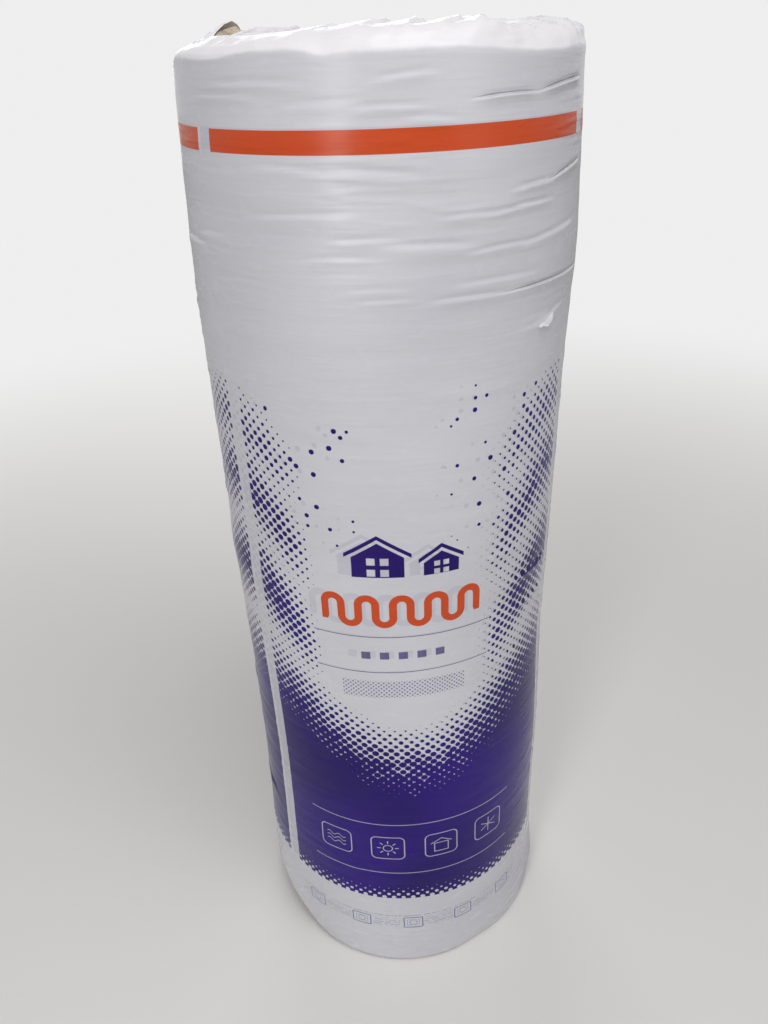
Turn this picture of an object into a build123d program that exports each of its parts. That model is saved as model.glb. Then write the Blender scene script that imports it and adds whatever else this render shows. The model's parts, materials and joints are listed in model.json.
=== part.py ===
# Roll of glass wool blanket wound up tight and wrapped in plastic film, standing on its end.
# Millimetres, with +Z up the roll and the origin under its middle, on the face that it stands on.
from math import ceil, cos, radians, sin
import os

from build123d import *

# The blanket
wool_width = 1200.0  # across the blanket, which is the length of the roll
turn_pitch = 13.3  # thickness that one turn of the pressed blanket takes up
eye_radius = 20.0  # hole that is left in the middle of the winding
groove_width = 4.0  # gap between two turns at the face of an end
groove_depth = 5.0

# The outside of the wrapped roll, which narrows to a waist
foot_radius = 207.5
waist_radius = 202.5
rim_radius = 206.0
waist_share = 0.48  # of the way up the roll
foot_round = 12.0  # soft lower rim, in two flats
rim_round = 22.0  # soft upper rim, in two flats

# The film
film_wall = 1.5
film_slack = 0.5  # free space between the film and the wool
foot_opening_radius = 110.0
top_opening_radius = 105.0

# Folds of the gathered film on the upper end, which lean over one way
fold_count = 23
fold_height = 8.0
fold_width = 24.0  # where a fold stands highest
fold_tip_height = 3.5
fold_tip_width = 9.0  # at the opening
fold_crest = 26.0  # from the rim to where a fold stands highest
fold_slant = 20.0  # degrees round from a fold's start to the opening
fold_lean = 0.3  # share of its width by which a fold's top stands off its middle
fold_unevenness = 0.3  # share by which the folds differ

# What follows from them
wool_inset = film_wall + film_slack
roll_height = wool_width + 2 * wool_inset
foot_bend = foot_round * (1 - cos(radians(45)))  # how far in the corner of the two flats lies
rim_bend = rim_round * (1 - cos(radians(45)))
fold_root = roll_height - film_wall


def side_curve(inset):
    """Draws the side of the roll between its two soft rims, this far inside the film's outside."""
    return ThreePointArc(
        (foot_radius - inset, foot_round),
        (waist_radius - inset, waist_share * roll_height),
        (rim_radius - inset, roll_height - rim_round),
    )


def outer_outline():
    """Draws half the section of the wrapped roll."""
    side = side_curve(0)
    Polyline(
        side @ 0,
        (foot_radius - foot_bend, foot_bend),
        (foot_radius - foot_round, 0),
        (0, 0),
        (0, roll_height),
        (rim_radius - rim_round, roll_height),
        (rim_radius - rim_bend, roll_height - rim_bend),
        side @ 1,
    )


def inner_outline(inset, bore):
    """Draws half the section of what the film holds, with its hidden rims cut off plainly."""
    side = side_curve(inset)
    Polyline(
        side @ 0,
        (foot_radius - foot_round, inset),
        (bore, inset),
        (bore, roll_height - inset),
        (rim_radius - rim_round, roll_height - inset),
        side @ 1,
    )


def end_seam(height, opening):
    """Draws the seam between the turns at this height, as half turns round two centres."""
    start = eye_radius + turn_pitch
    for turn in range(ceil((opening - start) / turn_pitch)):
        near = start + turn * turn_pitch
        CenterArc((0, 0, height), near, 0, 180)
        CenterArc((turn_pitch / 2, 0, height), near + turn_pitch / 2, 180, 180)


def fold_section(angle, radius, wide, high):
    """Draws the section of a fold at this place, a triangle that leans over."""
    out = Vector(cos(radians(angle)), sin(radians(angle)))
    place = Plane(out * radius + Vector(0, 0, fold_root), x_dir=out.rotate(Axis.Z, 90), z_dir=out)
    with BuildSketch(place) as section:
        with BuildLine():
            Polyline((-wide / 2, 0), (wide / 2, 0), (fold_lean * wide, high + film_wall), close=True)
        make_face()
    return section.sketch


def gathered_fold(number):
    """Makes one fold, which climbs from the rim to its crest and dies away to the opening."""
    size = 1 + fold_unevenness * sin(2.4 * number)
    start = 360 / fold_count * (number + fold_unevenness * cos(4.1 * number))
    crest_radius = rim_radius - fold_crest
    climb = (rim_radius - crest_radius) / (rim_radius - top_opening_radius)
    out = Vector(cos(radians(start)), sin(radians(start)))
    with BuildPart() as fold:
        crest = fold_section(
            start + climb * fold_slant, crest_radius, size * fold_width, size * fold_height
        )
        tip = fold_section(
            start + fold_slant, top_opening_radius - film_wall, fold_tip_width, fold_tip_height
        )
        start_point = out * (rim_radius - rim_bend - film_wall) + Vector(0, 0, roll_height - rim_bend)
        loft(sections=[Vertex(*start_point), crest, tip], ruled=True)
    return fold.part


with BuildPart() as wool_roll:
    with BuildSketch(Plane.XZ):
        with BuildLine():
            inner_outline(wool_inset, eye_radius)
        make_face()
    revolve(axis=Axis.Z)
    # The seam of the winding, a spiral groove in both ends as far out as the film leaves it open
    for height, inward, opening in (
        (wool_inset, 1, foot_opening_radius),
        (roll_height - wool_inset, -1, top_opening_radius),
    ):
        with BuildLine() as seam:
            end_seam(height, opening)
        with BuildSketch(Plane.XZ):
            with BuildLine():
                middle = eye_radius + turn_pitch
                Polyline(
                    (middle - groove_width, height - inward * groove_depth),
                    (middle + groove_width, height - inward * groove_depth),
                    (middle, height + inward * groove_depth),
                    close=True,
                )
            make_face()
        sweep(path=seam.wire(), mode=Mode.SUBTRACT)
wool_roll.part.label = "wool_roll"

folds = [gathered_fold(number) for number in range(fold_count)]

with BuildPart() as wrap_film:
    with BuildSketch(Plane.XZ):
        with BuildLine():
            outer_outline()
        make_face()
    revolve(axis=Axis.Z)
    add(folds)
    # The space that the wool fills
    with BuildSketch(Plane.XZ):
        with BuildLine():
            inner_outline(film_wall, 0)
        make_face()
    revolve(axis=Axis.Z, mode=Mode.SUBTRACT)
    # The openings that the folded-in film leaves at the ends, where it thins out on the wool
    for height, outward, opening in (
        (film_wall, -1, foot_opening_radius),
        (fold_root, 1, top_opening_radius),
    ):
        with BuildSketch(Plane((0, 0, height), z_dir=(0, 0, outward))):
            Circle(opening)
        extrude(amount=2 * fold_height, taper=-45, mode=Mode.SUBTRACT)
wrap_film.part.label = "wrap_film"

os.makedirs("parts", exist_ok=True)
for piece in (wool_roll, wrap_film):
    export_step(piece.part, f"parts/{piece.part.label}.step")
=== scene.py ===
# Upright roll of glass wool blanket in printed plastic film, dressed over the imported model.
# Metres, +Z up, and the side that the camera sees faces -Y. An angle round the roll starts there and grows towards +X.
import json
import math

import bpy
import numpy as np
from mathutils import Matrix, Vector, noise

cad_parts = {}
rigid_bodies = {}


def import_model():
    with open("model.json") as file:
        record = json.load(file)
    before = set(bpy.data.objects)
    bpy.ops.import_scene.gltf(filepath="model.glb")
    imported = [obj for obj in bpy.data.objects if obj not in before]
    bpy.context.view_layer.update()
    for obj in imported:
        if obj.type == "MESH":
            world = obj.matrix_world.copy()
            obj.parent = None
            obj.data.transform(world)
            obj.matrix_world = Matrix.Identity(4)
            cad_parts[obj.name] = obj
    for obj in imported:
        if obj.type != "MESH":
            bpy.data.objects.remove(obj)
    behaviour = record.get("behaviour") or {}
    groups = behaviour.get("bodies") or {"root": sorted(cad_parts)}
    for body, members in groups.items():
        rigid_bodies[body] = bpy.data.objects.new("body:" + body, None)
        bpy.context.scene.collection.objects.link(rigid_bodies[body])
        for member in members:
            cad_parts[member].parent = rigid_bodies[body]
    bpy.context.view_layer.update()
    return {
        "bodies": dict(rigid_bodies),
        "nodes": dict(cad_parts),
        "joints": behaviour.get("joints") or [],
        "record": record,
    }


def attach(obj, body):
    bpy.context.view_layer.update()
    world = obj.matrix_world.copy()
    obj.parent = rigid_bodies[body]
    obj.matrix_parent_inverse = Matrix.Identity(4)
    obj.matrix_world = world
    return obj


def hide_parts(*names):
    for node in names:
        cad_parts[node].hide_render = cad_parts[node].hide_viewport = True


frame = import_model()
bpy.ops.object.select_all(action="DESELECT")
print("frame loaded")

# Helpers for shapes


def smoothPath(points, spacing=0.0005):
    # a smooth line through the points, and the distance along it of each of its own points
    p = np.array(points, float)
    s = np.r_[0, np.cumsum(np.linalg.norm(np.diff(p, axis=0), axis=1))]
    slope = np.gradient(p, s, axis=0)
    at = np.arange(0, s[-1], spacing)
    i = np.clip(np.searchsorted(s, at, side="right") - 1, 0, len(s) - 2)
    h = (s[i + 1] - s[i])[:, None]
    w = (at - s[i])[:, None] / h
    line = (
        (2 * w**3 - 3 * w**2 + 1) * p[i]
        + (w**3 - 2 * w**2 + w) * h * slope[i]
        + (3 * w**2 - 2 * w**3) * p[i + 1]
        + (w**3 - w**2) * h * slope[i + 1]
    )
    return at, line


def readPath(along, at, path):
    # both columns of the path, at each distance along it
    return np.c_[np.interp(along, at, path[:, 0]), np.interp(along, at, path[:, 1])]


def curve(value, points):
    return np.interp(value, *zip(*points))


def ease(value, low, high):
    # 0 at low, 1 at high, smooth between
    w = np.clip((value - low) / (high - low), 0, 1)
    return w * w * (3 - 2 * w)


def span(value, start, full, fading, end):
    # climbs from 0 at start to 1 at full, and back down to 0 from fading to end
    return ease(value, start, full) * (1 - ease(value, fading, end))


def bell(value, middle, halfWidth):
    return np.exp(-(((value - middle) / halfWidth) ** 2))


def noiseAt(places, scale, seed):
    # smooth noise from about -1 to 1 at each place, with a scale for each direction
    sx, sy, sz = scale
    return np.array([noise.noise(Vector((x * sx + seed, y * sy - seed, z * sz))) for x, y, z in places])


def layered(places, layers):
    # noise in layers, each with its size, scale and seed
    return sum(size * noiseAt(places, scale, seed) for size, scale, seed in layers)


def readPlaces(mesh):
    places = np.empty(len(mesh.vertices) * 3)
    mesh.vertices.foreach_get("co", places)
    return places.reshape(-1, 3)


def writePlaces(mesh, places):
    mesh.vertices.foreach_set("co", places.ravel())
    mesh.update()


# The film, one sheet wound once round the wool with a lap at the back

filmWrap = {
    "columns": 244,
    "radius": 0.2058,  # that the print's distances round the roll refer to
    "evenHeight": 0.6,  # where the print's distance up the film is the height itself
    "lap": 0.072,
    "lapRise": 0.0013,
    "freeEdgeRise": 0.0008,
    "lowest": 0.0004,
    # paths from the lower opening to the upper one, as radius and height
    "footPath": [
        (0.110, 0.0008), (0.150, 0.0007), (0.190, 0.0007), (0.2020, 0.0012), (0.2074, 0.0050), (0.2092, 0.0140),
    ],
    "sidePath": [
        (0.2097, 0.035), (0.2086, 0.067), (0.2073, 0.129), (0.2066, 0.169), (0.2051, 0.265), (0.2046, 0.341),
        (0.2037, 0.430), (0.2034, 0.515), (0.2045, 0.580), (0.2054, 0.652), (0.2056, 0.726), (0.2060, 0.810),
        (0.2062, 0.875), (0.2068, 0.913), (0.2077, 0.958), (0.2083, 1.000), (0.2074, 1.033), (0.2058, 1.070),
        (0.2047, 1.102), (0.2033, 1.131),
    ],
    "slopingRim": [
        (0.2014, 1.162), (0.2004, 1.176), (0.1998, 1.1828), (0.1988, 1.1850), (0.1962, 1.1876), (0.1905, 1.1922),
        (0.1845, 1.1967), (0.1775, 1.2004), (0.1650, 1.2032), (0.1450, 1.2036), (0.1220, 1.2036), (0.0960, 1.2036),
    ],
    "uprightRim": [
        (0.2016, 1.162), (0.2012, 1.177), (0.2012, 1.1838), (0.2006, 1.1862), (0.1988, 1.1898), (0.1962, 1.1950),
        (0.1925, 1.2002), (0.1880, 1.2038), (0.1780, 1.2052), (0.1650, 1.2056), (0.1450, 1.2048), (0.1220, 1.2040),
        (0.0960, 1.2036),
    ],
    "standing": (-0.80, 0.75),  # places to the right, in radii, where the rim begins to stand up and where it stands
    # how much higher than the paths the shoulder lies, in mm at angles of the side that faces -Y
    "shoulder": [
        (-110, -2), (-84, -3), (-76, -2), (-69, 3.5), (-66, 4), (-54, 3.4), (-43, 2.5), (-38, 4.3), (-31, 6.5),
        (-22, 6.5), (-17, 3.8), (-13.5, 0.2), (-9.6, 1), (-6.6, 2.8), (5, 2.5), (17.6, 1.4), (32, -1.5), (40, -3),
        (51, -3), (60, -1.4), (100, 0),
    ],
    "shoulderSpan": (0.010, 0.048, 0.060, 0.090),
    "hidden": (75, 105),  # degrees past which the shoulder wanders by noise
    "ragged": 0.012,  # how far the edge at the upper opening runs in or out
    # where it stops short and lets the wool out: angle, half width and depth
    "notches": [(-50, 10, 0.040), (-44, 30, 0.034)],
    # how far the whole section stands to the right at each height
    "sideways": [
        (0.00, 0.0018), (0.07, 0.0008), (0.15, 0.0), (0.34, 0.0012), (0.41, 0.0), (0.52, -0.0026), (0.60, -0.0028),
        (0.73, -0.0020), (0.87, -0.0025), (0.96, -0.0014), (1.01, 0.0),
    ],
    # degrees, height, size, half widths
    "bulges": [
        (-80, 0.655, 0.0022, 34, 0.030), (78, 0.020, 0.0020, 28, 0.030), (-57, 0.006, -0.0085, 17, 0.026),
        (-6, 0.000, 0.0026, 24, 0.016), (33, 0.004, -0.0030, 11, 0.018), (-88, 0.010, 0.0015, 10, 0.030),
        (-68, 0.004, -0.0040, 9, 0.020), (74, 0.004, -0.0045, 10, 0.020), (40, 1.204, -0.0048, 12, 0.018),
        (54, 1.206, -0.0048, 8, 0.012), (-84, 1.207, -0.0064, 17, 0.009), (84, 1.212, -0.0066, 21, 0.008),
        (-58, 1.2055, 0.0085, 5, 0.0040), (-64, 1.2003, -0.0044, 9, 0.0045), (-29, 1.208, -0.0030, 7, 0.010),
        (29, 1.207, 0.0036, 4, 0.012), (82, 1.1955, 0.0024, 14, 0.006), (49.3, 0.9475, 0.0017, 3.4, 0.0065),
        (-68, 0.038, -0.0018, 9, 0.022), (69, 0.024, -0.0024, 9, 0.018),
    ],
    # distance up the film and space between its rows there
    "rowSpacing": [
        (0.0, 0.0080), (0.075, 0.0060), (0.088, 0.0024), (0.19, 0.0024), (0.21, 0.0056), (0.63, 0.0056),
        (0.67, 0.0042), (0.80, 0.0042), (0.84, 0.0060), (1.02, 0.0050), (1.05, 0.0019), (1.31, 0.0019),
        (1.34, 0.0030), (1.40, 0.0030),
    ],
    "hiddenCreases": 120,
}

# Folds of the gathered end, by the distance past the beginning of the rim
pleats = {
    "count": 33,
    "height": 0.0042,
    "uneven": 0.07,
    "sizes": (0.45, 1.25),
    "slant": 0.42,  # radians round while they run in
    "slantFrom": 0.045,
    "slantOver": 0.11,
    "lean": 0.055,
    "rise": (0, 0.62, 0.66, 1.0),  # over the width of one fold
    "strength": [(0.058, 0), (0.072, 0.13), (0.090, 0.55), (0.115, 1.0), (0.145, 0.9), (0.175, 0.55)],
}

# Layers of noise: size, in mm where it moves the film out, scale and seed
filmNoise = {
    "ragged": [(0.8, (2.1, 2.1, 0), 3.7), (0.4, (9, 9, 0), 8.1)],
    "standing": [(0.28, (2.4, 2.4, 0), 1.3)],
    "shoulder": [(6.0, (4.5, 4.5, 0), 2.9)],
    "pleats": [(0.05, (3, 3, 30), 5.5)],
    "slack": [(1.1, (1.6, 1.6, 5), 2.2)],
    "waves": [(0.45, (1.8, 1.8, 48), 4.4)],
    "sharp": [(1, (2.2, 2.2, 85), 6.6)],
    "sharpPatches": [(1, (1.4, 1.4, 9), 7.7)],
    "slanting": [(1, (11, 11, 14), 12.5)],
    "slantingPatches": [(1, (4, 4, 9), 18.1)],
    "crumple": [(1.6, (11, 11, 48), 9.9)],
    "fineCrumple": [(0.5, (24, 24, 110), 3.3)],
    "foot": [(1.9, (1.2, 1.2, 210), 15.1)],
    "freeEdge": [(1, (0.6, 0.6, 14), 20.3)],
}

# Creases in the film: angle and height where each starts and ends, how far it stands out and its half width in mm
creases = [
    (22, 1151, 42, 1153, 1.5, 3.4), (42, 1153, 66, 1161, 1.7, 3.2), (33, 1078, 50, 1081, 1.3, 3.0),
    (48, 1081, 68, 1091, 1.5, 3.0), (13, 1061, 30, 1061, 0.8, 3.6), (26, 1061, 50, 1065, 1.4, 3.0),
    (-2, 1040, 24, 1036, 1.2, 7.0), (20, 1030, 42, 1032, 0.9, 4.0), (36, 1029, 64, 1038, 0.9, 4.5),
    (16, 1003, 44, 1002, 0.7, 4.5), (10, 991, 34, 990, 1.2, 3.8), (31, 990, 74, 988, 1.6, 3.2),
    (-36, 1063, -7, 1067, 0.9, 5.0), (-13, 1045, 6, 1046, 0.9, 4.0), (-20, 1030, -1, 1030, 0.7, 3.6),
    (-10, 1003, 6, 1003, 0.6, 4.0), (-7, 993, 7, 994, 0.6, 4.0), (-46, 1167, -18, 1167, 1.0, 4.0),
    (-2, 1167, 14, 1173, 1.15, 3.8), (-7, 1148, 11, 1148, 1.15, 3.8), (5, 1140, 18, 1137, 1.0, 3.8),
    (-12, 1102, 9, 1096, 0.7, 5.0), (-34, 1105, -12, 1100, 0.6, 5.0), (-61, 1040, -44, 1043, 0.6, 5.0),
    (29, 699, 46, 698, 1.45, 4.4), (39, 652, 66, 645, 1.9, 4.4), (40, 608, 65, 603, 1.8, 4.4),
    (33, 543, 50, 542, 1.45, 4.8), (29, 520, 45, 520, 1.45, 4.8), (40, 19, 82, 27, 2.0, 4.2),
    (44, 33, 84, 43, 2.2, 4.6), (50, 47, 84, 60, 2.0, 4.4), (54, 62, 86, 77, 1.8, 4.4), (30, 12, 60, 14, 1.4, 3.8),
    (38, 742, 66, 739, 0.9, 4.0), (-30, 868, 4, 862, 0.6, 6.0), (10, 905, 40, 900, 0.7, 6.0),
    (-50, 480, -20, 476, 0.5, 6.0), (39.5, 949, 47, 949.5, 1.0, 3.0), (50, 953, 61, 961, 0.9, 3.6),
    (-54, 1158, -30, 1158, 1.0, 4.0), (-25, 1150, -4, 1152, 0.7, 5.0),
]
creaseBow = 6.0  # mm by which its ends hang, for the square of the share of its length from its middle
creaseEnds = (-0.08, 0.28, 0.72, 1.08)  # shares of its length over which it climbs and dies away


def filmRows(total):
    # distances along the film at which its rows lie, closer together at the bends
    rows = [0.0]
    while rows[-1] < total:
        rows.append(rows[-1] + curve(rows[-1], filmWrap["rowSpacing"]))
    return np.array(rows) * total / rows[-1]


def pleatPuff(az, onRim):
    # how far each place of the gathered end puffs out, as a share of a fold's full height
    past, count = onRim[:, 2], pleats["count"]
    slant = pleats["slant"] * np.clip((past - pleats["slantFrom"]) / pleats["slantOver"], -0.2, 1.2)
    shifts = np.random.default_rng(5).uniform(-pleats["uneven"], pleats["uneven"], count)
    cuts = np.sort(np.linspace(0, 2 * math.pi, count, endpoint=False) + shifts)
    turned = np.mod(az - slant + layered(onRim, filmNoise["pleats"]), 2 * math.pi)
    fold = np.interp(turned, np.r_[cuts[-1] - 2 * math.pi, cuts, cuts[0] + 2 * math.pi], np.arange(-1, count + 1))
    number = np.floor(fold).astype(int)
    sizes = np.random.default_rng(9).uniform(*pleats["sizes"], count)
    return sizes[number % count] * span(fold - number, *pleats["rise"]) * curve(past, pleats["strength"])


def sideWaves(body):
    # slack, soft waves and sharp creases of the side
    along = body[:, 2]
    waves = layered(body, filmNoise["waves"]) * (0.6 + 0.8 * ease(along, 0.5, 1.1))
    patches = ease(layered(body, filmNoise["sharpPatches"]), -0.05, 0.35)
    sharp = 0.55 * bell(layered(body, filmNoise["sharp"]), 0, 0.09) * patches
    return (layered(body, filmNoise["slack"]) + waves + sharp) * ease(along, 0.10, 0.16)


def creaseFolds(degrees, height):
    # every crease, a ridge over a furrow, with more of them on the sides that the camera doesn't see
    made = list(creases)
    chance = np.random.default_rng(31)
    for _ in range(filmWrap["hiddenCreases"]):
        start = chance.uniform(78, 290)
        level = chance.uniform(180, 1150)
        end = start + chance.uniform(10, 34)
        level1, high, wide = level + chance.uniform(-6, 6), chance.uniform(0.4, 1.4), chance.uniform(3, 6)
        made.append((start, level, end, level1, high, wide))
    folds = np.zeros(len(degrees))
    for a0, z0, a1, z1, high, wide in made:
        opposite = (a0 + a1) / 2 - 180
        share = (opposite + np.mod(degrees - opposite, 360) - a0) / (a1 - a0)
        held = np.clip(share, 0, 1)
        off = (height - z0 - (z1 - z0) * held + creaseBow * (held - 0.5) ** 2) / (0.6 * wide)
        ridge = bell(off, -0.75, np.where(off < -0.75, 2.3, 1.05))
        folds += 1.0625 * high * span(share, *creaseEnds) * (ridge - bell(off, 0.6, 0.65))
    return folds


def shoulderCrumples(az, onRim):
    # crumples of the shoulder, some of which run slantwise towards the folds
    past = onRim[:, 2]
    across = az - 3.2 * np.clip(past, 0, 1)
    slanting = bell(layered(np.c_[np.sin(across), -np.cos(across), past], filmNoise["slanting"]), 0, 0.10)
    slanting *= 1.6 * ease(layered(onRim, filmNoise["slantingPatches"]), -0.15, 0.3)
    crumple = 0.48 - np.abs(layered(onRim, filmNoise["crumple"])) + layered(onRim, filmNoise["fineCrumple"])
    return (slanting + crumple) * ease(past, 0.050, 0.064)


def makeFilm():
    low = filmWrap["footPath"] + filmWrap["sidePath"]
    side, _ = smoothPath(low)
    slopingAt, sloping = smoothPath(low + filmWrap["slopingRim"])
    uprightAt, upright = smoothPath(low + filmWrap["uprightRim"])
    rim = side[-1]  # how far up the film the rim begins
    end = slopingAt[-1] - filmWrap["ragged"]
    rows = filmRows(end)
    bpy.ops.mesh.primitive_grid_add(x_subdivisions=filmWrap["columns"], y_subdivisions=len(rows) - 1, size=1)
    film = bpy.context.object
    film.name = "wrapFilm"
    flat = readPlaces(film.data)
    row = np.rint((flat[:, 1] + 0.5) * (len(rows) - 1)).astype(int)
    lapAngle = filmWrap["lap"] / filmWrap["radius"]
    az = (flat[:, 0] + 0.5) * (2 * math.pi + lapAngle) - math.pi - lapAngle / 2
    degrees = np.degrees(az)
    body = np.c_[np.sin(az), -np.cos(az), rows[row]]

    # the film's edge at the upper opening is uneven
    along = body[:, 2]
    along += filmWrap["ragged"] * layered(body, filmNoise["ragged"]) * ease(along, rim + 0.05, end)
    short = sum(depth * bell(degrees, at, wide) for at, wide, depth in filmWrap["notches"])
    along -= short * ease(along, rim + 0.04, end)
    past = along - rim  # distance past the beginning of the rim, negative below it
    onRim = np.c_[body[:, :2], past]

    # the rim slopes on one side of the roll and stands up on the other
    standing = np.clip(ease(body[:, 0], *filmWrap["standing"]) + layered(body, filmNoise["standing"]), 0, 1)[:, None]
    stretch = (uprightAt[-1] - rim) / (slopingAt[-1] - rim)
    onUpright = readPath(rim + past * np.where(past < 0, 1, stretch), uprightAt, upright)
    place = readPath(along, slopingAt, sloping) * (1 - standing) + onUpright * standing
    run = readPath(along, slopingAt, np.gradient(sloping, slopingAt, axis=0))
    run /= np.linalg.norm(run, axis=1)[:, None]
    outward = np.c_[run[:, 1], -run[:, 0]]  # across the path, away from the wool
    # the shoulder's line wanders up and down
    wander = layered(body, filmNoise["shoulder"]) * ease(np.abs(degrees), *filmWrap["hidden"])
    wander += curve(degrees, filmWrap["shoulder"])
    place[:, 1] += wander / 1000 * span(past, *filmWrap["shoulderSpan"])

    # how far each place stands out, in mm
    outset = sideWaves(body) * (1 - ease(past, -0.01, 0.03))
    outset += creaseFolds(degrees, place[:, 1] * 1000) * (1 - ease(past, 0.036, 0.050))
    outset += shoulderCrumples(az, onRim)
    # ridges that lie round the foot where the film turns in
    footRidge = np.abs(layered(body, filmNoise["foot"])) * span(along, 0.088, 0.105, 0.135, 0.19)
    outset += footRidge * (0.35 + ease(np.sin(az - 0.3), 0.1, 0.9))

    lapped = ease(az, math.pi - lapAngle / 2 - 0.08, math.pi - lapAngle / 2)
    freeEdge = ease(az, math.pi + lapAngle / 2 - 0.03, math.pi + lapAngle / 2)
    freeEdge *= filmWrap["freeEdgeRise"] * (1 + layered(body, filmNoise["freeEdge"]))
    lift = filmWrap["lapRise"] * lapped + freeEdge
    puff = pleatPuff(az, onRim)
    push = outset / 1000 + puff * pleats["height"] + lift * ease(along, 0.07, 0.09)
    for at, height, size, wide, tall in filmWrap["bulges"]:
        push += size * bell(degrees, at, wide) * bell(place[:, 1], height, tall) * (1 - ease(past, 0.125, 0.150))
    place += outward * push[:, None]
    place[:, 1] = np.maximum(place[:, 1], filmWrap["lowest"])
    angle = az + pleats["lean"] * puff
    sideways = curve(place[:, 1], filmWrap["sideways"])
    writePlaces(film.data, np.c_[place[:, 0] * np.sin(angle) + sideways, -place[:, 0] * np.cos(angle), place[:, 1]])

    # the film's own distances in metres, for the print: round the roll, and up it
    film.data.uv_layers[0].name = "filmDistance"
    corner = np.empty(len(film.data.loops), int)
    film.data.loops.foreach_get("vertex_index", corner)
    upStart = np.interp(filmWrap["evenHeight"], sloping[:, 1], slopingAt) - filmWrap["evenHeight"]
    distances = np.c_[az * filmWrap["radius"], rows[row] - upStart]
    film.data.uv_layers[0].data.foreach_set("uv", distances[corner].ravel())
    bpy.ops.object.shade_smooth()
    print("film", len(film.data.vertices), "points", len(film.data.polygons), "faces")
    return film, filmWrap["radius"] * (2 * math.pi + lapAngle), end


film, filmWidth, filmLength = makeFilm()

# A small torn lip of the film, which stands up at the right

tornLip = {
    "across": 24,
    "out": 12,
    # angle and height of places along the line where it leaves the film, and along its free edge
    "root": [
        (45.5, 0.9466), (45.8, 0.9483), (46.6, 0.9497), (47.3, 0.9508), (48.2, 0.9520),
        (49.2, 0.9534), (50.3, 0.9543), (51.7, 0.9552), (53.2, 0.9548),
    ],
    "edge": [
        (45.8, 0.9453), (46.6, 0.9448), (47.4, 0.9454), (48.5, 0.9441), (49.5, 0.9429),
        (50.5, 0.9444), (51.6, 0.9457), (52.4, 0.9490), (53.5, 0.9526),
    ],
    "stand": 0.0024,
    "curl": 2.2,  # the higher, the more of the standing is done near the free edge
    "ruffle": 0.10,
    "ruffles": 17,
    "sunk": 0.0002,  # how deep the root lies in the film
    "paintedLightHeights": (1.1785, 1.1935),  # heights on the film, above its print, whose colour the root and the edge take; the edge's colour is the painted light of the film's top
}


def makeLip(film):
    bpy.ops.mesh.primitive_grid_add(x_subdivisions=tornLip["across"], y_subdivisions=tornLip["out"], size=1)
    lip = bpy.context.object
    lip.name = "tornLip"
    root, edge = np.array(tornLip["root"]), np.array(tornLip["edge"])
    steps = np.linspace(0, 1, len(root))
    places = readPlaces(lip.data)
    outs = 0.5 - places[:, 1]
    for place in places:
        share, out = place[0] + 0.5, 0.5 - place[1]
        start, end = readPath([share], steps, root)[0], readPath([share], steps, edge)[0]
        degrees, height = start + (end - start) * out
        outward = Vector((math.sin(math.radians(degrees)), -math.cos(math.radians(degrees)), 0))
        _, onFilm, _, _ = film.ray_cast(outward * 0.25 + Vector((0, 0, height)), -outward)
        rise = math.sin(math.pi * share) ** 0.6 * (1 + tornLip["ruffle"] * math.sin(tornLip["ruffles"] * share))
        lifted = tornLip["stand"] * rise * out ** tornLip["curl"] - tornLip["sunk"] * (1 - out) ** 3
        place[:] = onFilm + outward * lifted
    writePlaces(lip.data, places)
    lip.data.uv_layers[0].name = "filmDistance"
    for loop in lip.data.loops:
        x, y, _ = lip.data.vertices[loop.vertex_index].co
        # painted highlight: the lip's colour turns whiter towards its free edge, where it faces the light
        white = np.interp(outs[loop.vertex_index], (0, 1), tornLip["paintedLightHeights"])
        lip.data.uv_layers[0].data[loop.index].uv = (math.atan2(x, -y) * filmWrap["radius"], white)
    bpy.ops.object.shade_smooth()
    print("lip", len(lip.data.polygons), "faces")
    return lip


bpy.context.view_layer.update()
lip = makeLip(film)

# The wool, a closed turned shape with its turns and loose fibres on both ends

woolRoll = {
    "segments": 180,
    "eye": 0.020,
    "eyeEdge": 0.004,  # how far the end's surface slopes down into the eye
    "eyeRings": (1.0, 0.8, 0.6, 0.4, 0.2),
    "pitch": 0.0133,
    "foot": 0.0022,
    "top": 1.2018,
    "rings": (0.0215, 0.1300, 0.0018),  # of both ends, from, to and step
    "outerRings": (0.1325, 0.1815, 15),
    "topRadius": 0.172,  # where the top's rings stop
    "side": [
        (0.1870, 0.0022), (0.1945, 0.0100), (0.1985, 0.030), (0.2025, 0.100), (0.2000, 0.300), (0.1960, 0.520),
        (0.1982, 0.700), (0.2000, 0.900), (0.2022, 1.010), (0.1992, 1.100), (0.1965, 1.160), (0.1925, 1.180),
        (0.1840, 1.1910), (0.1740, 1.1975),
    ],
    # wool that comes out over the film
    "tuft": {"at": -49, "wide": 9, "radius": 0.166, "deep": 0.015, "high": 0.0108},
    "tuftNoise": [(0.35, (110, 110, 0), 7.1), (0.25, (260, 260, 0), 2.1)],
    "sag": {"at": -76, "wide": 20, "deep": 0.0040},  # where the film draws the wool's edge down
    "underFilm": 0.0042,  # how much lower the wool lies where the film covers its upper end
    "grooveDepth": 0.0048,
    "tuftDepth": 0.0011,
    # size, waves a turn, turning with the radius, and start
    "wander": [(0.0013, 3, 21, 0.4), (0.0008, 5, -64, 1.9), (0.0005, 11, 130, 0.8)],
}


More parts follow.
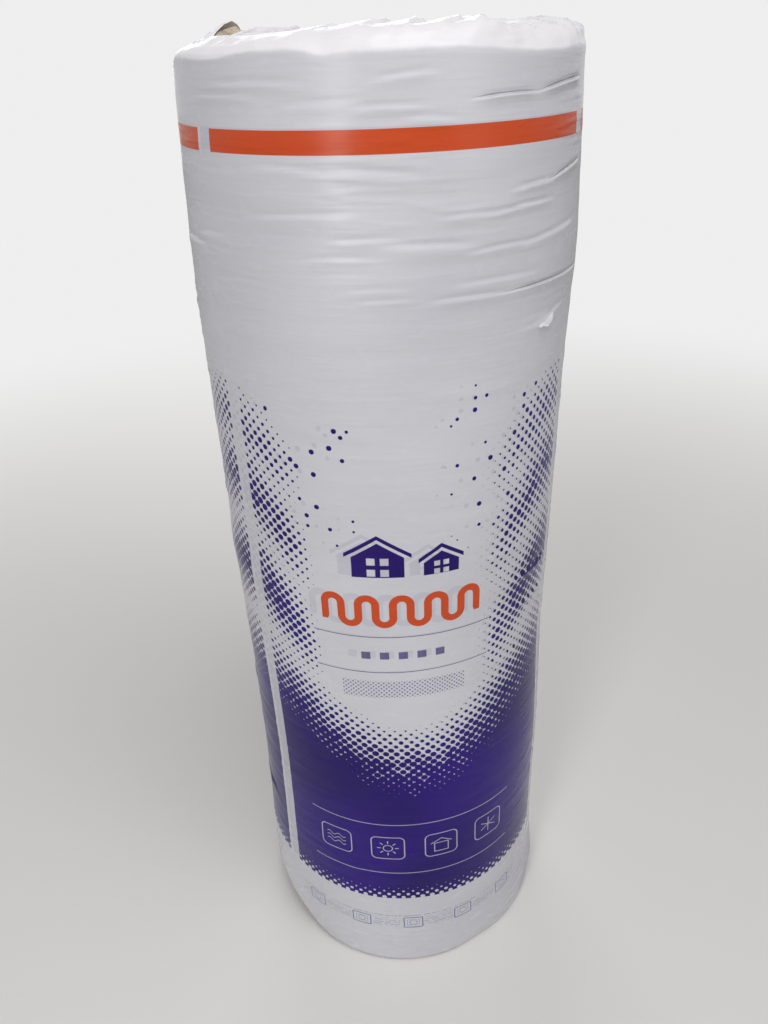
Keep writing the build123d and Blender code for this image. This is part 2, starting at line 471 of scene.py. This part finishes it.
def turnHeight(radius, az, seed):
    # how far the wool of an end lies back at each place, in the seam of its turns and between its tufts
    wander = sum(size * np.sin(waves * az + run * radius + start) for size, waves, run, start in woolRoll["wander"])
    phase = np.mod((radius + wander - woolRoll["eye"]) / woolRoll["pitch"] - az / (2 * math.pi), 1)
    groove = bell(np.minimum(phase, 1 - phase), 0, 0.16) * ease(radius - woolRoll["eye"], 0.004, 0.010)
    spot = np.c_[radius * np.cos(az), radius * np.sin(az), np.full(len(az), seed)]
    tufts = layered(spot, [(1, (95, 95, 1), seed), (0.6, (260, 260, 1), seed + 4)])
    return woolRoll["grooveDepth"] * groove * (0.75 + 0.4 * tufts) - woolRoll["tuftDepth"] * tufts


def makeWool():
    eye, foot, top = woolRoll["eye"], woolRoll["foot"], woolRoll["top"]
    bpy.ops.mesh.primitive_circle_add(vertices=woolRoll["segments"], radius=eye, fill_type="NOTHING")
    wool = bpy.context.object
    wool.name = "woolBlanket"
    # ring by ring, from the eye over the foot, up the side and back down the eye
    radii = list(np.arange(*woolRoll["rings"])) + list(np.linspace(*woolRoll["outerRings"]))
    stations = [(eye, foot + woolRoll["eyeEdge"])]
    stations += [(r, foot) for r in radii]
    stations += woolRoll["side"]
    stations += [(r, top) for r in reversed(radii) if r < woolRoll["topRadius"]]
    stations += [(eye, top - woolRoll["eyeEdge"])]
    stations += [(eye, z) for z in woolRoll["eyeRings"]]
    bpy.ops.object.mode_set(mode="EDIT")
    bpy.ops.mesh.select_all(action="SELECT")
    bpy.ops.transform.translate(value=(0, 0, stations[0][1]))
    for (r0, z0), (r1, z1) in zip(stations, stations[1:]):
        bpy.ops.mesh.extrude_edges_move(TRANSFORM_OT_translate={"value": (0, 0, z1 - z0)})
        if r1 != r0:
            bpy.ops.transform.resize(value=(r1 / r0, r1 / r0, 1), center_override=(0, 0, z1))
    bpy.ops.mesh.select_all(action="DESELECT")
    bpy.ops.mesh.select_non_manifold()
    bpy.ops.mesh.bridge_edge_loops()
    bpy.ops.mesh.select_all(action="SELECT")
    bpy.ops.mesh.normals_make_consistent(inside=False)
    bpy.ops.object.mode_set(mode="OBJECT")

    places = readPlaces(wool.data)
    radius = np.hypot(places[:, 0], places[:, 1])
    az = np.arctan2(places[:, 1], places[:, 0])
    for level, inward, seed in ((foot, 1, 2.0), (top, -1, 6.0)):
        onEnd = np.abs(places[:, 2] - level) < 1e-5
        places[onEnd, 2] += inward * turnHeight(radius[onEnd], az[onEnd], seed)
        if inward < 0:
            places[onEnd, 2] -= woolRoll["underFilm"] * ease(radius[onEnd], 0.100, 0.125)
    turned = np.degrees(np.arctan2(places[:, 0], -places[:, 1]))
    tuft = woolRoll["tuft"]
    lump = bell(turned, tuft["at"], tuft["wide"]) * bell(radius, tuft["radius"], tuft["deep"])
    lump *= 1 + layered(places, woolRoll["tuftNoise"])
    places[:, 2] += tuft["high"] * lump * ease(places[:, 2], 1.15, 1.19)
    sag = woolRoll["sag"]
    drawn = bell(turned, sag["at"], sag["wide"]) * ease(radius, 0.145, 0.165) * ease(places[:, 2], 1.17, 1.19)
    places[:, 2] -= sag["deep"] * drawn
    inEye = radius < eye + 1e-4
    swell = noiseAt(np.c_[np.cos(az[inEye]), np.sin(az[inEye]), places[inEye, 2]], (2, 2, 5), 1.0)
    places[inEye, :2] *= 1 + 0.03 * swell[:, None]
    writePlaces(wool.data, places)
    bpy.ops.object.shade_smooth()
    print("wool", len(wool.data.polygons), "faces")
    return wool


wool = makeWool()

# Helpers for materials


def addNode(tree, kind, **settings):
    node = tree.nodes.new(kind)
    for name, value in settings.items():
        setattr(node, name, value)
    return node


def feed(socket, value):
    if isinstance(value, bpy.types.NodeSocket):
        socket.id_data.links.new(value, socket)
    else:
        socket.default_value = value


def fedNode(kind, inputs, **settings):
    # a node with these inputs, in the tree that they come from
    tree = next(value.id_data for value in inputs.values() if isinstance(value, bpy.types.NodeSocket))
    node = addNode(tree, kind, **settings)
    for name, value in inputs.items():
        feed(node.inputs[name], value)
    return node


def calc(operation, *values):
    return fedNode("ShaderNodeMath", dict(enumerate(values)), operation=operation).outputs[0]


def chained(operation, values):
    result = values[0]
    for value in values[1:]:
        result = calc(operation, result, value)
    return result


def plus(*values):
    return chained("ADD", values)


def times(*values):
    return chained("MULTIPLY", values)


def either(*masks):
    return chained("MAXIMUM", masks)


def minus(value, amount):
    return calc("SUBTRACT", value, amount)


def scaled(value, factor, start):
    return calc("MULTIPLY_ADD", value, factor, start)


def absolute(value):
    return calc("ABSOLUTE", value)


def positive(value):
    return calc("MAXIMUM", value, 0.0)


def clamped(value):
    return calc("MINIMUM", positive(value), 1.0)


def wrapped(value, half):
    # the value repeated from -half to half
    return calc("WRAP", value, half, -half)


def hypotenuse(x, y):
    return calc("SQRT", plus(times(x, x), times(y, y)))


def fade(value, start, end):
    # 0 at start and 1 at end, whichever is larger
    inputs = {"Value": value, "From Min": start, "From Max": end}
    return fedNode("ShaderNodeMapRange", inputs, interpolation_type="SMOOTHSTEP").outputs[0]


def newGroup(name, inputs, outputs):
    tree = bpy.data.node_groups.new(name, "ShaderNodeTree")
    for label, value in inputs.items():
        socket = tree.interface.new_socket(label, in_out="INPUT", socket_type="NodeSocketFloat")
        socket.default_value = value
    for label in outputs:
        tree.interface.new_socket(label, in_out="OUTPUT", socket_type="NodeSocketFloat")
    return tree, tree.nodes.new("NodeGroupInput").outputs, tree.nodes.new("NodeGroupOutput").inputs


def useGroup(group, **values):
    return fedNode("ShaderNodeGroup", values, node_tree=group).outputs


def vector(x, y, z=0.0):
    return fedNode("ShaderNodeCombineXYZ", {"X": x, "Y": y, "Z": z}).outputs[0]


def partsOf(place):
    return fedNode("ShaderNodeSeparateXYZ", {"Vector": place}).outputs


def chanceOf(x, y):
    # a chance from 0 to 1 for each pair of whole numbers
    return fedNode("ShaderNodeTexWhiteNoise", {"Vector": vector(x, y)}, noise_dimensions="2D").outputs["Value"]


def cloudy(place, scale, detail, warp=0.0):
    inputs = {"Vector": place, "Scale": scale, "Detail": detail, "Distortion": warp}
    return fedNode("ShaderNodeTexNoise", inputs).outputs["Fac"]


def bumped(height, strength, distance):
    return fedNode("ShaderNodeBump", {"Height": height, "Strength": strength, "Distance": distance})


def mixColor(share, first, second):
    return fedNode("ShaderNodeMix", {"Factor": share, "A": first, "B": second}, data_type="RGBA").outputs["Result"]


def linear(red, green, blue):
    # a colour as a screen shows it, 0 to 255, as the shader wants it
    shares = [c / 255 for c in (red, green, blue)]
    return tuple(((c + 0.055) / 1.055) ** 2.4 if c > 0.04 else c / 12.92 for c in shares) + (1.0,)


def newMaterial(name):
    material = bpy.data.materials.new(name)
    material.use_nodes = True
    return material, material.node_tree, material.node_tree.nodes["Principled BSDF"]


# The print on the film, in metres round and up the film

printLayout = {
    "repeat": 0.4213,  # round the roll
    "middle": 0.0280,
    "drift": 0.0112,  # to the right for each metre down
    "spread": 0.061,  # share by which the print is wider for each metre down
    "driftFrom": 1.121,
    "gap": 0.0212,
    "stripe": {"height": 1.1225, "half": 0.0095},
    "bandFoot": 0.1440,
    "blur": 0.00035,
    "hairline": 0.0006,  # half width of the thin lines
}

# Rolling waves of dots, which stand higher towards the sides of each repeat
dotWaves = {
    "spacing": 0.0090,
    "lowestAt": -0.0174,
    "solidTop": 0.345,
    "solidLift": 0.120,
    "solidFade": 0.13,
    "waves": [  # height, lift at the sides, half width, strength, power
        (0.500, 0.160, 0.070, 0.66, 1.2),
        (0.620, 0.160, 0.060, 0.50, 1.4),
        (0.745, 0.110, 0.050, 0.30, 1.6),
    ],
    "clearAt": -0.0233,  # the waves keep off the motif there
    "clear": (0.088, 0.125),
    "sprinkle": 0.20,
    "reach": 0.74,  # a dot's radius where it's darkest, in spacings
    "footReach": 0.36,
}

# White lines in the violet band: two rules, and four small signs in frames between them
signs = {
    "rules": (0.2950, 0.1980),
    "ruleHalf": 0.140,
    "middle": -0.0213,
    "height": 0.2490,
    "spacing": 0.070,
    "frameHalf": 0.0215,
    "frameCorner": 0.0075,
    "reach": 0.0135,
}

# The main motif: two gabled shapes over an orange line that loops like a blanket in section
motif = {
    "middle": -0.0233,
    "gableFoot": 0.694,
    "gables": [(-0.024, 0.036, 0.044), (0.044, 0.025, 0.029)],  # sideways, half width and height
    "loops": {"height": 0.6480, "pitch": 0.0380, "straight": 0.0085, "half": 0.0044},
    "dashes": {"height": 0.5850, "half": 0.0052, "pitch": 0.0105, "reach": 0.0525},
    "rules": (0.6120, 0.5600),
    "ruleHalf": 0.1020,
    "beads": {"height": 0.5330, "half": 0.0130, "reach": 0.0720, "spacing": 0.0042, "radius": 0.0012},
}

# Small pale frames near the foot
footFrames = {"middle": -0.0272, "height": 0.0900, "halfWidth": 0.0125, "halfHeight": 0.0105, "number": 6}


def makeBoxGroup():
    # distance to the edge of a box with round corners, negative inside
    sockets = {"Across": 0, "Up": 0, "HalfWidth": 0.01, "HalfHeight": 0.01, "Corner": 0.0}
    tree, given, out = newGroup("roundedBox", sockets, ["Distance"])
    dx = plus(minus(absolute(given["Across"]), given["HalfWidth"]), given["Corner"])
    dy = plus(minus(absolute(given["Up"]), given["HalfHeight"]), given["Corner"])
    outside = hypotenuse(positive(dx), positive(dy))
    depth = calc("MINIMUM", calc("MAXIMUM", dx, dy), 0.0)
    feed(out["Distance"], minus(plus(outside, depth), given["Corner"]))
    return tree


def makeDotGroup():
    # a diagonal screen of dots: how far a point is from its dot's middle, where that is, and a chance for each dot
    sockets = {"Across": 0, "Up": 0, "Spacing": 0.009}
    tree, given, out = newGroup("dotScreen", sockets, ["Distance", "DotAcross", "DotUp", "Chance"])
    half = math.sqrt(0.5)
    side = times(plus(given["Across"], given["Up"]), half)
    rise = times(minus(given["Up"], given["Across"]), half)
    cellSide = calc("FLOOR", calc("DIVIDE", side, given["Spacing"]))
    cellRise = calc("FLOOR", calc("DIVIDE", rise, given["Spacing"]))
    midSide = times(plus(cellSide, 0.5), given["Spacing"])
    midRise = times(plus(cellRise, 0.5), given["Spacing"])
    feed(out["Distance"], hypotenuse(minus(side, midSide), minus(rise, midRise)))
    feed(out["DotAcross"], times(minus(midSide, midRise), half))
    feed(out["DotUp"], times(plus(midSide, midRise), half))
    feed(out["Chance"], chanceOf(cellSide, cellRise))
    return tree


def inside(distance):
    return fade(distance, printLayout["blur"], -printLayout["blur"])


def within(value, limit):
    return inside(minus(absolute(value), limit))


def line(distance, half=printLayout["hairline"]):
    return within(distance, half)


def dotMask(dotGroup, across, up):
    dots = useGroup(dotGroup, Across=across, Up=up, Spacing=dotWaves["spacing"])
    height, chance = dots["DotUp"], dots["Chance"]
    swing = times(minus(dots["DotAcross"], dotWaves["lowestAt"]), 2 * math.pi / printLayout["repeat"])
    edge = scaled(calc("COSINE", swing), -0.5, 0.5)
    clear = fade(absolute(minus(dots["DotAcross"], dotWaves["clearAt"])), *dotWaves["clear"])
    ribbons = []
    for low, lift, halfWidth, strength, power in dotWaves["waves"]:
        away = absolute(minus(height, scaled(edge, lift, low)))
        near = positive(minus(1.0, calc("DIVIDE", away, halfWidth)))
        ribbons.append(times(near, calc("POWER", edge, power), strength, clear))
    solidTop = scaled(edge, dotWaves["solidLift"], dotWaves["solidTop"] + dotWaves["solidFade"])
    base = calc("POWER", clamped(calc("DIVIDE", minus(solidTop, height), dotWaves["solidFade"])), 1.25)
    dark = times(either(base, *ribbons), scaled(chance, 0.65, 0.62))
    sprinkled = times(fade(chance, 0.90, 0.93), fade(height, 0.70, 0.78), fade(height, 0.925, 0.86))
    sprinkle = times(sprinkled, fade(edge, 0.06, 0.25), dotWaves["sprinkle"])
    dark = either(dark, sprinkle, fade(base, 0.80, 0.99))
    reach = times(calc("SQRT", positive(minus(dark, 0.015))), dotWaves["spacing"] * dotWaves["reach"])
    # the band's foot is cut off straight, with a few rows of holes over it
    foot = printLayout["bandFoot"]
    mask = times(inside(minus(dots["Distance"], reach)), fade(up, foot - 0.0004, foot + 0.0004))
    footShare = fade(height, foot + 0.030, foot - 0.002)
    holeReach = times(footShare, scaled(chance, 0.25, 0.85), dotWaves["spacing"] * dotWaves["footReach"])
    holes = times(inside(minus(dots["Distance"], holeReach)), fade(footShare, 0.02, 0.06))
    return times(mask, minus(1.0, holes))


def signMask(box, across, up):
    rules = times(either(*[line(minus(up, height)) for height in signs["rules"]]),
                  within(minus(across, signs["middle"]), signs["ruleHalf"]))
    place = plus(calc("DIVIDE", minus(across, signs["middle"]), signs["spacing"]), 2.0)
    number = calc("FLOOR", place)
    x = times(minus(minus(place, number), 0.5), signs["spacing"])
    y = minus(up, signs["height"])
    far, turn = hypotenuse(x, y), calc("ARCTAN2", y, x)
    frame = line(box(x, y, signs["frameHalf"], signs["frameHalf"], signs["frameCorner"]), 0.0007)
    # ripples
    ripple = times(calc("SINE", times(x, 2 * math.pi / 0.014)), 0.0022)
    ripples = times(line(wrapped(minus(y, ripple), 0.0035)),
                    inside(minus(calc("MAXIMUM", absolute(x), times(absolute(y), 1.25)), signs["reach"])))
    # a sun with its rays
    rays = times(line(minus(far, 0.0115), 0.0025), within(wrapped(turn, math.pi / 8), 0.06))
    sun = either(line(minus(far, 0.0060)), rays)
    # a home
    roof = plus(times(absolute(x), 0.62), minus(y, 0.0115))
    walls = line(box(x, plus(y, 0.0050), 0.0092, 0.0080))
    home = either(times(line(roof, 0.0007), within(x, 0.0140)), times(walls, inside(roof)))
    # a flake with six arms
    angles = [math.radians(angle) for angle in (0, 60, 120)]
    arms = [line(plus(times(x, math.cos(angle)), times(y, math.sin(angle)))) for angle in angles]
    flake = times(either(*arms), inside(minus(far, signs["reach"])))
    row = enumerate((ripples, sun, home, flake))
    chosen = [times(sign, calc("COMPARE", number, float(which), 0.1)) for which, sign in row]
    inRow = within(minus(across, signs["middle"]), 2 * signs["spacing"])
    return either(rules, times(inRow, either(frame, *chosen)))


def gableMask(box, x, up, wide, tall):
    away, y = absolute(x), minus(up, motif["gableFoot"])
    slope = plus(times(away, 0.66), minus(y, tall))
    shape = times(inside(slope), inside(box(x, minus(y, tall / 2), wide * 0.78, tall / 2)))
    pane = times(line(minus(away, wide * 0.20), wide * 0.125),
                 line(minus(absolute(minus(y, tall * 0.30)), wide * 0.20), wide * 0.125))
    eaves = times(line(minus(slope, 0.0068), 0.0026), inside(minus(away, wide)))
    return either(times(shape, minus(1.0, pane)), eaves)


def loopMask(x, up):
    loops = motif["loops"]
    bend, straight, half = loops["pitch"] / 4, loops["straight"], loops["half"]
    y = minus(up, loops["height"])
    crest = hypotenuse(wrapped(x, 2 * bend), positive(minus(y, straight)))
    dip = hypotenuse(wrapped(minus(x, 2 * bend), 2 * bend), calc("MINIMUM", plus(y, straight), 0.0))
    upper = calc("GREATER_THAN", y, 0.0)
    toBend = plus(times(crest, upper), times(dip, minus(1.0, upper)))
    ends = either(within(x, 9 * bend - 1.3 * half), inside(minus(-1.9 * straight, y)))
    return times(line(minus(toBend, bend), half), within(x, 9 * bend + half), ends)


def footMarks(box, across, up):
    wide, high = footFrames["halfWidth"], footFrames["halfHeight"]
    spacing = printLayout["repeat"] / footFrames["number"]
    fromMiddle = minus(across, footFrames["middle"])
    x, y = wrapped(fromMiddle, spacing / 2), minus(up, footFrames["height"])
    rings = either(line(box(x, y, 0.0050, 0.0050, 0.0050)), line(box(x, y, 0.0080, 0.0060, 0.0010), 0.0004))
    frames = either(line(box(x, y, wide, high, 0.0012), 0.0007), times(inside(box(x, y, wide, high)), rings, 0.6))
    speck = chanceOf(calc("FLOOR", calc("DIVIDE", across, 0.0018)), calc("FLOOR", calc("DIVIDE", up, 0.0046)))
    ticks = times(line(wrapped(y, 0.0023), 0.0008), line(y, 0.0092), fade(speck, 0.30, 0.34),
                  fade(absolute(x), wide + 0.0025, wide + 0.0030))
    rule = times(line(minus(y, 0.0150), 0.0007), fade(speck, 0.22, 0.26))
    return times(either(frames, times(ticks, 0.50), times(rule, 0.60)), within(fromMiddle, 2.4 * spacing))


def makePrintGroup():
    tree, given, out = newGroup("filmPrint", {"Round": 0, "Height": 0}, ["Violet", "Orange", "Pale"])
    boxGroup, dotGroup = makeBoxGroup(), makeDotGroup()

    def box(x, y, halfWidth, halfHeight, corner=0.0):
        given = {"Across": x, "Up": y, "HalfWidth": halfWidth, "HalfHeight": halfHeight, "Corner": corner}
        return useGroup(boxGroup, **given)["Distance"]

    up = given["Height"]
    down = minus(printLayout["driftFrom"], up)
    drifted = minus(minus(given["Round"], printLayout["middle"]), times(down, printLayout["drift"]))
    half = printLayout["repeat"] / 2
    across = wrapped(times(drifted, scaled(down, -printLayout["spread"], 1.0)), half)
    inPrint = within(across, half - printLayout["gap"] / 2)
    stripe = within(minus(up, printLayout["stripe"]["height"]), printLayout["stripe"]["half"])
    x = minus(across, motif["middle"])
    gables = either(*[gableMask(box, minus(x, shift), up, wide, tall) for shift, wide, tall in motif["gables"]])
    rules = times(either(*[line(minus(up, height)) for height in motif["rules"]]), within(x, motif["ruleHalf"]))
    dash, bead = motif["dashes"], motif["beads"]
    dashes = times(within(wrapped(x, dash["pitch"]), dash["half"]), within(minus(up, dash["height"]), dash["half"]),
                   within(x, dash["reach"]))
    toBead = useGroup(dotGroup, Across=x, Up=up, Spacing=bead["spacing"])["Distance"]
    beads = times(inside(minus(toBead, bead["radius"])), within(minus(up, bead["height"]), bead["half"]),
                  within(x, bead["reach"]))
    band = times(dotMask(dotGroup, across, up), inPrint, minus(1.0, times(signMask(box, across, up), 0.85)))
    feed(out["Violet"], either(band, gables, times(either(rules, dashes), 0.8), times(beads, 0.7)))
    feed(out["Orange"], either(times(stripe, inPrint), loopMask(x, up)))
    feed(out["Pale"], footMarks(box, across, up))
    return tree


def makeCreaseGroup():
    # one crisp crease between two places given in degrees and mm, as a height in mm
    sockets = {"Degrees": 0, "Height": 0, "FromDegrees": 0, "FromHeight": 0, "ToDegrees": 1, "ToHeight": 0}
    sockets.update({"Wide": 1.5, "High": 1})
    tree, given, out = newGroup("filmCrease", sockets, ["Fold"])
    length = minus(given["ToDegrees"], given["FromDegrees"])
    share = calc("DIVIDE", minus(given["Degrees"], given["FromDegrees"]), length)
    held = clamped(share)
    middle = minus(held, 0.5)
    straight = scaled(held, minus(given["ToHeight"], given["FromHeight"]), given["FromHeight"])
    level = minus(straight, times(middle, middle, creaseBow))
    off = calc("DIVIDE", minus(given["Height"], level), given["Wide"])

    def hump(at, halfWidth):
        away = calc("DIVIDE", minus(off, at), halfWidth)
        return calc("EXPONENT", times(away, away, -1.0))

    start, full, fading, end = creaseEnds
    ends = times(fade(share, start, full), fade(share, end, fading))
    fold = minus(times(hump(-0.8, 1.0), 0.6), hump(0.5, 0.5))
    feed(out["Fold"], times(ends, fold, given["High"]))
    return tree


filmFinish = {
    "white": linear(207, 207, 213),
    "shade": linear(200, 199, 206),
    "gathered": linear(228, 226, 229),  # partly the white of the end's many layers that lie on each other, partly painted light: the top painted lighter as if lit from above
    "gatheredFrom": 1.1800,
    "violet": linear(42, 16, 118),
    "violetDeep": linear(32, 12, 96),
    "orange": linear(198, 76, 38),
    "mark": linear(92, 98, 146),
    "ghost": 0.14,
    "ghostShift": (0.0155, -0.0015),  # the layer under the outer one shows through, a little to the left
    # fine creases that lie round the roll: share, scale and detail
    "ripples": [(0.65, (9, 9, 95), 2.0), (0.35, (16, 16, 240), 1.0)],
    "crispFrom": (1.5, 900),  # creases this high, and this far up, get a crisp line
    "crisp": (0.42, 0.75),  # its width and height, as shares of the crease's own
    "roughness": 0.19,
    "uneven": 0.14,  # roughness that comes and goes
    "inkGloss": 0.06,
}


def makeFilmMaterial():
    material, tree, shader = newMaterial("printedFilm")
    printGroup = makePrintGroup()
    roundUp = partsOf(addNode(tree, "ShaderNodeUVMap", uv_map="filmDistance").outputs["UV"])
    place = addNode(tree, "ShaderNodeTexCoord").outputs["Object"]
    aside, above = filmFinish["ghostShift"]
    top = useGroup(printGroup, Round=roundUp["X"], Height=roundUp["Y"])
    under = useGroup(printGroup, Round=plus(roundUp["X"], aside), Height=plus(roundUp["Y"], above))

    def stretched(scale, detail):
        return cloudy(fedNode("ShaderNodeMapping", {"Vector": place, "Scale": scale}).outputs[0], 1.0, detail)

    cloud = cloudy(place, 5.0, 1.0)
    color = mixColor(fade(cloud, 0.35, 0.70), filmFinish["white"], filmFinish["shade"])
    # painted light: above this wandering line the film takes the whiter colour of its lit top
    edge = scaled(stretched((22, 22, 8), 3.0), 0.007, filmFinish["gatheredFrom"])
    color = mixColor(fade(minus(roundUp["Y"], edge), -0.0015, 0.0030), color, filmFinish["gathered"])
    ghost = times(either(under["Violet"], times(under["Orange"], 0.8)), filmFinish["ghost"])
    color = mixColor(ghost, color, filmFinish["violet"])
    color = mixColor(top["Pale"], color, filmFinish["mark"])
    ink = mixColor(fade(cloud, 0.38, 0.62), filmFinish["violet"], filmFinish["violetDeep"])
    color = mixColor(top["Violet"], color, ink)
    feed(shader.inputs["Base Color"], mixColor(top["Orange"], color, filmFinish["orange"]))

    ripples = plus(*[times(stretched(scale, detail), share) for share, scale, detail in filmFinish["ripples"]])
    bump = bumped(ripples, 0.45, 0.0016)
    # the sharpest creases of the shape get a crisp line
    creaseGroup = makeCreaseGroup()
    degrees = times(roundUp["X"], math.degrees(1 / filmWrap["radius"]))
    height = times(partsOf(place)["Z"], 1000.0)
    least, lowest = filmFinish["crispFrom"]
    narrow, flat = filmFinish["crisp"]
    folds = [
        useGroup(creaseGroup, Degrees=degrees, Height=height, FromDegrees=a0, FromHeight=z0,
                 ToDegrees=a1, ToHeight=z1, Wide=narrow * wide, High=flat * high)["Fold"]
        for a0, z0, a1, z1, high, wide in creases if high >= least and z0 >= lowest
    ]
    crisp = bumped(plus(*folds), 1.0, 0.001)
    feed(crisp.inputs["Normal"], bump.outputs[0])
    feed(shader.inputs["Normal"], crisp.outputs[0])
    rough = scaled(stretched((30, 30, 60), 1.0), filmFinish["uneven"], filmFinish["roughness"])
    feed(shader.inputs["Roughness"], minus(rough, times(top["Violet"], filmFinish["inkGloss"])))
    shader.inputs["IOR"].default_value = 1.48
    shader.inputs["Specular IOR Level"].default_value = 0.18
    return material


woolFinish = {
    "light": linear(214, 199, 178),
    "deep": linear(188, 169, 142),
    # painted shade: the colour in the grooves between the turns
    "seam": linear(136, 116, 90),
    "layers": (7.0, 46.0, 40.0),  # scale of the fibres' layers, across the turns, round them and up
    "fuzz": (360, 6.0, 3.5),  # scale, detail and warp
    "clumps": (70, 4.0, 1.4),
}


def makeWoolMaterial():
    material, tree, shader = newMaterial("glassWool")
    place = addNode(tree, "ShaderNodeTexCoord").outputs["Object"]
    x, y, z = partsOf(place)
    far = hypotenuse(x, y)
    turn = calc("DIVIDE", calc("ARCTAN2", y, x), 2 * math.pi)
    wandered = minus(far, woolRoll["eye"])
    for size, waves, run, start in woolRoll["wander"]:
        swing = scaled(turn, waves * 2 * math.pi, scaled(far, run, start))
        wandered = scaled(calc("SINE", swing), size, wandered)
    laid = minus(calc("DIVIDE", wandered, woolRoll["pitch"]), turn)
    phase = calc("FRACT", laid)
    seam = calc("MINIMUM", phase, minus(1.0, phase))
    # layers of fibre lie along the turns
    stretched = [times(value, scale) for value, scale in zip((laid, turn, z), woolFinish["layers"])]
    layers = cloudy(vector(*stretched), 1.0, 4.0)
    fuzz, clumps = cloudy(place, *woolFinish["fuzz"]), cloudy(place, *woolFinish["clumps"])
    light = fade(plus(times(layers, 0.4), times(fuzz, 0.6)), 0.36, 0.60)
    color = mixColor(light, woolFinish["deep"], woolFinish["light"])
    color = mixColor(times(fade(clumps, 0.55, 0.75), 0.35), color, woolFinish["deep"])
    # painted shade: darker along the seams between the turns, where shade falls in their grooves
    color = mixColor(times(fade(seam, 0.15, 0.03), scaled(clumps, 1.2, -0.1)), color, woolFinish["seam"])
    feed(shader.inputs["Base Color"], color)
    shader.inputs["Roughness"].default_value = 0.95
    shader.inputs["Specular IOR Level"].default_value = 0.2
    shader.inputs["Sheen Weight"].default_value = 0.25
    bump = bumped(plus(fuzz, times(layers, 0.8)), 0.7, 0.002)
    feed(shader.inputs["Normal"], bump.outputs[0])
    return material


filmMaterial = makeFilmMaterial()
film.data.materials.append(filmMaterial)
lip.data.materials.append(filmMaterial)
wool.data.materials.append(makeWoolMaterial())
print("materials made")

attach(film, "root")
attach(wool, "root")
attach(lip, "root")
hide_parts("wrap_film")
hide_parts("wool_roll")

# Floor, light and camera

studio = {
    "floor": linear(232, 230, 227),
    "floorSize": 30,
    "floorFade": (0.7, 3.2),  # distances over which the camera sees the floor turn into the backdrop
    "backdrop": 0.86,
    "world": 0.28,
    "lamps": {
        "window": {"place": (-0.92, -2.3, 1.50), "aim": (0, 0, 0.85), "size": (0.55, 1.7), "power": 23.0},
        "top": {"place": (0.5, -0.8, 3.0), "aim": (0, 0, 1.1), "size": (1.2, 1.2), "power": 26.0},
        "side": {"place": (1.9, -1.7, 1.1), "aim": (0, 0, 0.55), "size": (0.9, 1.8), "power": 5.0},
        "back": {"place": (-0.5, 2.8, 1.7), "aim": (0, 0, 0.65), "size": (1.6, 2.0), "power": 20.0},
    },
}
bpy.ops.mesh.primitive_plane_add(size=studio["floorSize"], location=(0, 0, 0))
floor = bpy.context.object
floor.name = "floor"
floorMaterial, tree, shader = newMaterial("paleFloor")
shader.inputs["Base Color"].default_value = studio["floor"]
shader.inputs["Roughness"].default_value = 0.6
place = addNode(tree, "ShaderNodeTexCoord").outputs["Object"]
away = fedNode("ShaderNodeVectorMath", {0: place}, operation="LENGTH").outputs["Value"]
paths = addNode(tree, "ShaderNodeLightPath").outputs
glow = addNode(tree, "ShaderNodeEmission")
glow.inputs["Strength"].default_value = studio["backdrop"]
share = times(paths["Is Camera Ray"], fade(away, *studio["floorFade"]))
blend = fedNode("ShaderNodeMixShader", {"Fac": share, 1: shader.outputs[0], 2: glow.outputs[0]})
feed(tree.nodes["Material Output"].inputs["Surface"], blend.outputs[0])
floor.data.materials.append(floorMaterial)

world = bpy.data.worlds.new("studioWorld")
bpy.context.scene.world = world
world.use_nodes = True
background = world.node_tree.nodes["Background"]
paths = addNode(world.node_tree, "ShaderNodeLightPath").outputs
seen = either(paths["Is Camera Ray"], either(paths["Is Glossy Ray"], paths["Is Transmission Ray"]))
background.inputs["Color"].default_value = (1, 1, 1, 1)
feed(background.inputs["Strength"], scaled(seen, studio["backdrop"] - studio["world"], studio["world"]))

for name, lamp in studio["lamps"].items():
    bpy.ops.object.light_add(type="AREA", location=lamp["place"])
    light = bpy.context.object
    light.name = name + "Light"
    light.data.shape = "RECTANGLE"
    light.data.size, light.data.size_y = lamp["size"]
    light.data.energy = lamp["power"]
    light.rotation_euler = (Vector(lamp["aim"]) - Vector(lamp["place"])).to_track_quat("-Z", "Y").to_euler()

camera = {"distance": 0.9211, "height": 1.1913, "lens": 28.39, "yaw": -0.70, "pitch": 30.11, "roll": -2.19}
bpy.ops.object.camera_add()
view = bpy.context.object
view.data.lens = camera["lens"]
yaw, pitch, roll = (math.radians(camera[name]) for name in ("yaw", "pitch", "roll"))
ahead = Vector((math.sin(yaw) * math.cos(pitch), math.cos(yaw) * math.cos(pitch), -math.sin(pitch)))
right = Vector((math.cos(yaw), -math.sin(yaw), 0))
upward = right.cross(ahead)
across = right * math.cos(roll) + upward * math.sin(roll)
lifted = upward * math.cos(roll) - right * math.sin(roll)
stand = Matrix.Translation((0, -camera["distance"], camera["height"]))
view.matrix_world = stand @ Matrix((across, lifted, -ahead)).transposed().to_4x4()
bpy.context.scene.camera = view
bpy.context.scene.view_settings.view_transform = "Standard"
print("studio set")

bpy.context.view_layer.update()
